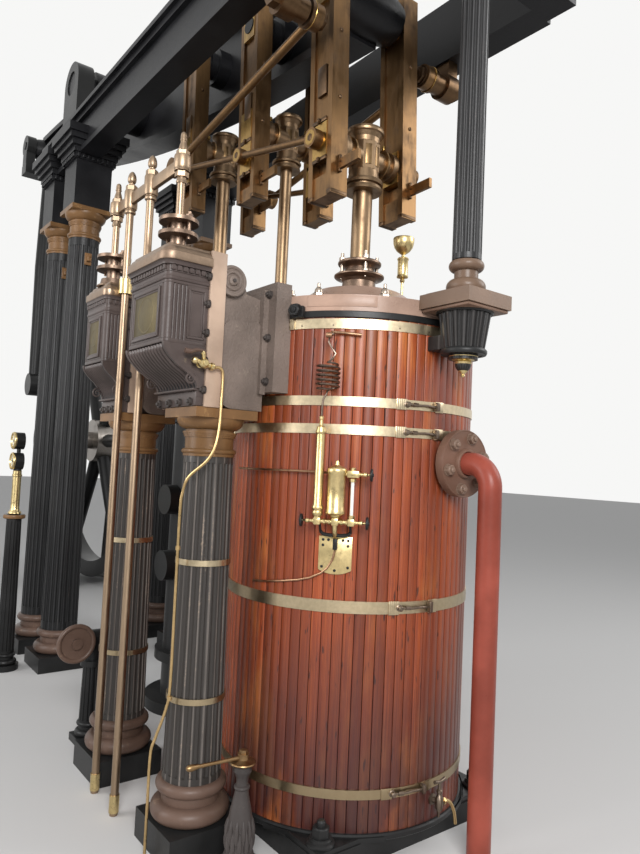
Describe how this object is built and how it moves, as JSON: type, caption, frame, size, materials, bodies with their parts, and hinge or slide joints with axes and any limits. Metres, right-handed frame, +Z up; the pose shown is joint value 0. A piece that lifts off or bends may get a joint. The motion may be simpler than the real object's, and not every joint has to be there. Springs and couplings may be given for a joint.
{
  "type": "compound beam engine",
  "caption": "Compound rotative beam engine: timber-lagged cylinders, fluted columns, valve chests on pedestals, parallel motion, connecting rod, crank and flywheel.",
  "frame": {"origin": "on the floor, under the axis of the low pressure cylinder, on the underside of the bed plate", "axes": "+X runs along the beam from its trunnion towards the low pressure cylinder, +Y away from the valve chests, +Z up"},
  "size_m": [8.4492, 2.421, 5.3455],
  "materials": {
    "bed_plate": "black painted casting",
    "cylinder_lagging": "red-brown varnished mahogany boards",
    "lagging_bands": "polished brass, dulled in places",
    "cylinder_covers": "brown paint",
    "cylinder_glands": "turned metal with an oily brown film",
    "low_valve_chest": "dark bronze-brown paint",
    "high_valve_chest": "dark bronze-brown paint",
    "chest_caps": "rubbed brown paint",
    "chest_glands": "oiled bronze",
    "steam_passages": "grey-black paint",
    "port_flanges": "grey-black paint",
    "pedestal_plinths": "black paint",
    "pedestal_bases": "brown paint worn to bare metal on the rounds",
    "pedestal_shafts": "black-green gloss paint",
    "pedestal_capitals": "bronze paint",
    "pedestal_bands": "polished brass",
    "column_plinths": "black paint",
    "column_bases": "brown paint",
    "column_shafts": "black-green gloss paint",
    "column_capitals": "bronze paint",
    "side_girders": "black gloss paint",
    "end_girder": "black gloss paint",
    "end_column": "black-green gloss paint",
    "end_console": "black-brown paint",
    "trunnion_bearings": "black paint",
    "pivot_brackets": "dark brown paint",
    "shaft_pedestals": "black paint",
    "pump_barrel": "black paint",
    "side_flange": "brown paint",
    "side_pipe": "salmon-red paint",
    "lubricator": "polished brass",
    "oil_coil": "bare steel",
    "oil_pipes": "polished brass",
    "rod_guides": "polished brass",
    "lever_stand": "black paint",
    "wheel_stand": "black paint",
    "gauge_stand": "black paint",
    "cover_oilers": "polished brass",
    "beam": "black gloss paint",
    "low_links": "bright iron under a film of brown oil",
    "link_brasses_low": "oily brass",
    "high_links": "bright iron under a film of brown oil",
    "link_brasses_high": "oily brass",
    "pump_links": "bright iron under a film of brown oil",
    "link_brasses_pump": "oily brass",
    "low_piston_rod": "oily turned steel",
    "high_piston_rod": "oily turned steel",
    "pump_rod": "oily turned steel",
    "radius_rods": "bright iron under a film of brown oil",
    "parallel_bars": "bright iron under a film of brown oil",
    "connecting_rod": "black paint",
    "crank": "black paint",
    "crankshaft": "turned steel",
    "flywheel_rim": "black paint",
    "flywheel_spokes": "black paint",
    "valve_rods": "bright steel with an oily film",
    "valve_yoke": "bright steel with an oily film",
    "start_lever": "worn bright steel",
    "stand_wheel": "brown enamel"
  },
  "bodies": {
    "engine_frame": {"bed_plate": "bed_plate", "cylinder_lagging": "cylinder_lagging", "lagging_bands": "lagging_bands", "cylinder_covers": "cylinder_covers", "cylinder_glands": "cylinder_glands", "low_valve_chest": "low_valve_chest", "high_valve_chest": "high_valve_chest", "chest_caps": "chest_caps", "chest_glands": "chest_glands", "steam_passages": "steam_passages", "port_flanges": "port_flanges", "pedestal_plinths": "pedestal_plinths", "pedestal_bases": "pedestal_bases", "pedestal_shafts": "pedestal_shafts", "pedestal_capitals": "pedestal_capitals", "pedestal_bands": "pedestal_bands", "column_plinths": "column_plinths", "column_bases": "column_bases", "column_shafts": "column_shafts", "column_capitals": "column_capitals", "side_girders": "side_girders", "end_girder": "end_girder", "end_column": "end_column", "end_console": "end_console", "trunnion_bearings": "trunnion_bearings", "pivot_brackets": "pivot_brackets", "shaft_pedestals": "shaft_pedestals", "pump_barrel": "pump_barrel", "side_flange": "side_flange", "side_pipe": "side_pipe", "lubricator": "lubricator", "oil_coil": "oil_coil", "oil_pipes": "oil_pipes", "rod_guides": "rod_guides", "lever_stand": "lever_stand", "wheel_stand": "wheel_stand", "gauge_stand": "gauge_stand", "cover_oilers": "cover_oilers"},
    "beam_body": {"beam": "beam"},
    "low_link_pair": {"low_links": "low_links", "link_brasses_low": "link_brasses_low"},
    "high_link_pair": {"high_links": "high_links", "link_brasses_high": "link_brasses_high"},
    "pump_link_pair": {"pump_links": "pump_links", "link_brasses_pump": "link_brasses_pump"},
    "low_piston": {"low_piston_rod": "low_piston_rod"},
    "high_piston": {"high_piston_rod": "high_piston_rod"},
    "pump_plunger": {"pump_rod": "pump_rod"},
    "radius_rod_pair": {"radius_rods": "radius_rods"},
    "parallel_bar_pair": {"parallel_bars": "parallel_bars"},
    "connecting_rod_body": {"connecting_rod": "connecting_rod"},
    "crank_and_wheel": {"crank": "crank", "crankshaft": "crankshaft", "flywheel_rim": "flywheel_rim", "flywheel_spokes": "flywheel_spokes"},
    "valve_gear": {"valve_rods": "valve_rods", "valve_yoke": "valve_yoke"},
    "lever": {"start_lever": "start_lever"},
    "hand_wheel": {"stand_wheel": "stand_wheel"}
  },
  "joints": [
    {"name": "beam_rock", "type": "hinge", "parent": "engine_frame", "child": "beam_body", "pos_m": [-2.96722, 0, 4.575], "axis": [0, -1, 0], "range_deg": [0, 24]},
    {"name": "low_piston_slide", "type": "slide", "parent": "engine_frame", "child": "low_piston", "axis": [0, 0, 1], "range_m": [0, 1.2476]},
    {"name": "high_piston_slide", "type": "slide", "parent": "engine_frame", "child": "high_piston", "axis": [0, 0, 1], "range_m": [0, 0.9482]},
    {"name": "pump_rod_slide", "type": "slide", "parent": "engine_frame", "child": "pump_plunger", "axis": [0, 0, 1], "range_m": [0, 0.6238]},
    {"name": "low_link_swing", "type": "hinge", "parent": "beam_body", "child": "low_link_pair", "pos_m": [-0.03278, 0, 3.95126], "axis": [0, -1, 0], "range_deg": [-24, 0]},
    {"name": "high_link_swing", "type": "hinge", "parent": "beam_body", "child": "high_link_pair", "pos_m": [-0.73704, 0, 4.10096], "axis": [0, -1, 0], "range_deg": [-24, 0]},
    {"name": "pump_link_swing", "type": "hinge", "parent": "beam_body", "child": "pump_link_pair", "pos_m": [-1.5, 0, 4.26313], "axis": [0, -1, 0], "range_deg": [-24, 0]},
    {"name": "radius_rod_swing", "type": "hinge", "parent": "engine_frame", "child": "radius_rod_pair", "pos_m": [0.03, 0, 3.72], "axis": [0, 1, 0], "range_deg": [0, 24]},
    {"name": "parallel_bar_swing", "type": "hinge", "parent": "low_piston", "child": "parallel_bar_pair", "pos_m": [0, 0, 3.155], "axis": [0, -1, 0], "range_deg": [0, 24]},
    {"name": "connecting_rod_swing", "type": "hinge", "parent": "beam_body", "child": "connecting_rod_body", "pos_m": [-5.90166, 0, 5.19874], "axis": [0, -1, 0], "range_deg": [-24, 0]},
    {"name": "crank_turn", "type": "hinge", "parent": "engine_frame", "child": "crank_and_wheel", "pos_m": [-5.93444, 0, 1.75], "axis": [0, 1, 0], "range_deg": [0, 180]},
    {"name": "valve_gear_lift", "type": "slide", "parent": "engine_frame", "child": "valve_gear", "axis": [0, 0, 1], "range_m": [0, 0.06]},
    {"name": "start_lever_turn", "type": "hinge", "parent": "engine_frame", "child": "lever", "pos_m": [0.285, -0.725, 0.41], "axis": [0, 0, 1], "range_deg": [0, 90]},
    {"name": "stand_wheel_turn", "type": "hinge", "parent": "engine_frame", "child": "hand_wheel", "pos_m": [-1.21, -0.93, 0.57], "axis": [1, 0, 0], "range_deg": [0, 720]}
  ],
  "couplings": [
    {"joint": "low_piston_slide", "follows": "beam_rock", "m_per_rad": 2.9781},
    {"joint": "high_piston_slide", "follows": "beam_rock", "m_per_rad": 2.2634},
    {"joint": "pump_rod_slide", "follows": "beam_rock", "m_per_rad": 1.4891},
    {"joint": "low_link_swing", "follows": "beam_rock", "ratio": -1},
    {"joint": "high_link_swing", "follows": "beam_rock", "ratio": -1},
    {"joint": "pump_link_swing", "follows": "beam_rock", "ratio": -1},
    {"joint": "radius_rod_swing", "follows": "beam_rock", "ratio": 1},
    {"joint": "parallel_bar_swing", "follows": "beam_rock", "ratio": 1},
    {"joint": "connecting_rod_swing", "follows": "beam_rock", "ratio": -1},
    {"joint": "crank_turn", "follows": "beam_rock", "ratio": 7.5}
  ]
}
